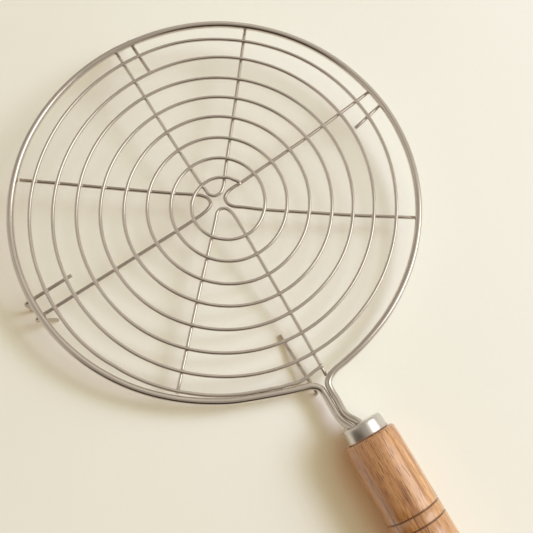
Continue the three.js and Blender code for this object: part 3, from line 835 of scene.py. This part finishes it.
for k in range(1, 13):
    t = math.radians(90 * k / 12)
    profile.append((Rh - 6.5 + 6.5 * math.cos(t), HANDLE_END - 6.5 + 6.5 * math.sin(t)))
profile.append((0.0, HANDLE_END))
verts, local, faces = lathe("grip", profile, 96, closed=False)
grip = new_object("grip", verts, faces)
vec_attribute(grip.data, "axisp", local)
sharp_by_angle(grip, 40)
place(grip, "handle_grip", WOOD)

# ------------------------------------------------------------------ floor
bpy.ops.mesh.primitive_plane_add(size=6.0, location=(0, 0, 0))
floor = bpy.context.object
floor.name = "floor"
floor.data.materials.append(floor_material("floor_cream"))

# ------------------------------------------------------------------ light
scene = bpy.context.scene


def area(name, direction, elevation, distance, size, size_y, power, colour, target=(-0.02, 0.0, 0.0)):
    """A soft box; direction is its plan bearing in degrees from +X. The room below shows it to the glossy surfaces."""
    ld = bpy.data.lights.new(name, "AREA")
    ld.shape = "RECTANGLE"
    ld.size, ld.size_y = size, size_y
    ld.energy = power
    ld.color = colour
    ob = bpy.data.objects.new(name, ld)
    e, b = math.radians(elevation), math.radians(direction)
    off = Vector(LEAN @ np.array([math.cos(e) * math.cos(b), math.cos(e) * math.sin(b), math.sin(e)])) * distance
    ob.location = Vector(target) + off
    ob.rotation_euler = (-off).to_track_quat("-Z", "Y").to_euler()
    ob.visible_glossy = False
    scene.collection.objects.link(ob)
    return ob


# one tall window, built from four soft boxes
area("key_mid", 80.0, 45.0, 1.8, 0.45, 0.45, 19.0, (0.300, 0.345, 0.415))
area("key_low", 80.0, 33.0, 1.8, 0.45, 0.45, 19.0, (0.185, 0.210, 0.333))
area("key_right", 67.0, 38.0, 1.8, 0.45, 0.45, 19.0, (0.362, 0.387, 0.488))
area("key_left", 93.0, 40.0, 1.8, 0.45, 0.45, 19.0, (0.176, 0.160, 0.228))

world = bpy.data.worlds.new("studio")
scene.world = world
world.use_nodes = True
wt = world.node_tree
wt.nodes.clear()
wo = wt.nodes.new("ShaderNodeOutputWorld")
bg = wt.nodes.new("ShaderNodeBackground")
wt.links.new(bg.outputs[0], wo.inputs[0])
tc = wt.nodes.new("ShaderNodeTexCoord")


def lobe(bearing, elevation, inner, outer):
    """1 within inner degrees of a direction, 0 beyond outer degrees."""
    e, b = math.radians(elevation), math.radians(bearing)
    d = wt.nodes.new("ShaderNodeVectorMath")
    d.operation = "DOT_PRODUCT"
    wt.links.new(tc.outputs["Generated"], d.inputs[0])
    d.inputs[1].default_value = tuple(LEAN @ np.array([math.cos(e) * math.cos(b), math.cos(e) * math.sin(b), math.sin(e)]))
    m = wt.nodes.new("ShaderNodeMapRange")
    m.interpolation_type = "SMOOTHSTEP"
    wt.links.new(d.outputs["Value"], m.inputs["Value"])
    m.inputs["From Min"].default_value = math.cos(math.radians(outer))
    m.inputs["From Max"].default_value = math.cos(math.radians(inner))
    m.inputs["To Min"].default_value = 0.0
    m.inputs["To Max"].default_value = 1.0
    return m.outputs[0]


# the room: an even level, then zones that are lighter or darker than it
room = wt.nodes.new("ShaderNodeRGB")
room.outputs[0].default_value = (0.62, 0.57, 0.485, 1.0)
level = room.outputs[0]
for (bearing, elevation, inner, outer), colour in (
    ((122, 38, 14, 42), (0.735, 0.68, 0.59)),
    ((188, 40, 12, 30), (0.36, 0.325, 0.275)),
    ((270, 77, 18, 27), (0.41, 0.375, 0.32)),
    ((8, 38, 16, 40), (0.45, 0.41, 0.35)),
    ((316, 22, 30, 46), (0.065, 0.045, 0.030)),
    ((63, 36, 12, 20), (2.3, 2.27, 2.2)),
    ((63, 48, 12, 20), (2.3, 2.27, 2.2)),
):
    mix = wt.nodes.new("ShaderNodeMix")
    mix.data_type = "RGBA"
    wt.links.new(lobe(bearing, elevation, inner, outer), mix.inputs[0])
    wt.links.new(level, mix.inputs[6])
    mix.inputs[7].default_value = (*colour, 1.0)
    level = mix.outputs[2]
# matt surfaces see a dim warm room with a broad glow round the window; the floor also gets back,
# off the wires, some of the window light that they stop
ambient = wt.nodes.new("ShaderNodeMix")
ambient.data_type = "RGBA"
wt.links.new(lobe(79, 40, 15, 60), ambient.inputs[0])
ambient.inputs[6].default_value = (0.351, 0.205, 0.098, 1.0)
ambient.inputs[7].default_value = (1.410, 1.627, 1.259, 1.0)
path = wt.nodes.new("ShaderNodeLightPath")
again = wt.nodes.new("ShaderNodeMath")
again.operation = "MINIMUM"
wt.links.new(path.outputs["Diffuse Depth"], again.inputs[0])
again.inputs[1].default_value = 1.0
shine = wt.nodes.new("ShaderNodeMix")
shine.data_type = "RGBA"
wt.links.new(again.outputs[0], shine.inputs[0])
wt.links.new(level, shine.inputs[6])
shine.inputs[7].default_value = (2.67, 2.38, 1.99, 1.0)
sky = wt.nodes.new("ShaderNodeMix")
sky.data_type = "RGBA"
seen = wt.nodes.new("ShaderNodeMath")
seen.operation = "ADD"
seen.use_clamp = True
wt.links.new(path.outputs["Is Glossy Ray"], seen.inputs[0])
wt.links.new(path.outputs["Is Camera Ray"], seen.inputs[1])
wt.links.new(seen.outputs[0], sky.inputs[0])
wt.links.new(ambient.outputs[2], sky.inputs[6])
wt.links.new(shine.outputs[2], sky.inputs[7])
wt.links.new(sky.outputs[2], bg.inputs[0])
bg.inputs[1].default_value = 1.0

# ------------------------------------------------------------------ camera
cam_data = bpy.data.cameras.new("camera")
cam_data.sensor_fit = "HORIZONTAL"
cam_data.sensor_width = 36.0
cam_data.lens = 635.9 / 533.0 * 36.0
cam_data.clip_start = 0.01
cam_data.clip_end = 20.0
cam = bpy.data.objects.new("camera", cam_data)
right = Vector((0.5257101, 0.8486091, 0.0590879))
up = Vector((-0.8350345, 0.501551, 0.2261945))
back = Vector((0.1623151, -0.1682532, 0.9722884))
right, up, back = (Vector(LEAN @ np.array(q)) for q in (right, up, back))
loc = Vector(LEAN @ np.array([93.75356, -50.20997, 311.13691 + RING_Z]) + SHIFT) * MM
cam.matrix_world = Matrix(
    (
        (right.x, up.x, back.x, loc.x),
        (right.y, up.y, back.y, loc.y),
        (right.z, up.z, back.z, loc.z),
        (0, 0, 0, 1),
    )
)
scene.collection.objects.link(cam)
scene.camera = cam

scene.view_settings.view_transform = "Standard"
scene.view_settings.look = "None"
scene.view_settings.exposure = 0.0
scene.view_settings.gamma = 1.0
